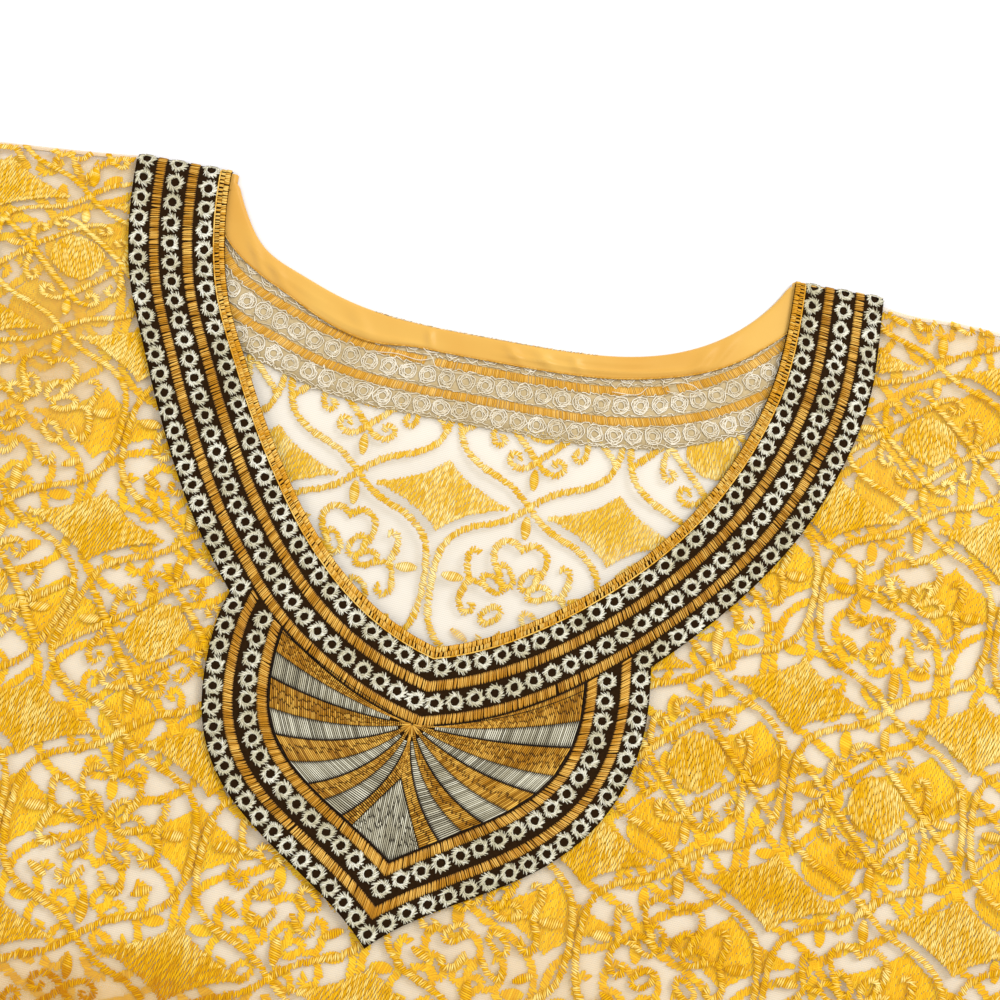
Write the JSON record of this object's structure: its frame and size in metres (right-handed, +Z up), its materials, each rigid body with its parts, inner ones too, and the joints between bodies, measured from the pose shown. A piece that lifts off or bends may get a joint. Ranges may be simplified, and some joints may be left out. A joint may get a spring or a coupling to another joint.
{
  "type": "boubou dress",
  "caption": "Wide boubou dress of embroidered net lace, laid flat front up, its V neckline edged by an embroidered band with a shield-shaped plaque below.",
  "frame": {"origin": "centre of the garment's bounding box, on the surface that it lies on", "axes": "+X across the garment along the shoulder line, +Y from the hem to the shoulders, +Z up from the surface, out of the front"},
  "size_m": [1.36, 1.35, 0.0102],
  "materials": {
    "lace": "yellow satin-stitch embroidery on fine net",
    "trim": "dark brown ground under gold and pale grey-green stitching",
    "trim_wrong_side": "beige backing with the bobbin side of the stitching",
    "satin": "yellow satin"
  },
  "bodies": {
    "root": {"back_panel": "lace", "front_panel": "lace", "neck_band_front": "trim", "neck_shield": "trim", "neck_band_back": "trim_wrong_side", "neck_facing": "satin"}
  },
  "joints": []
}
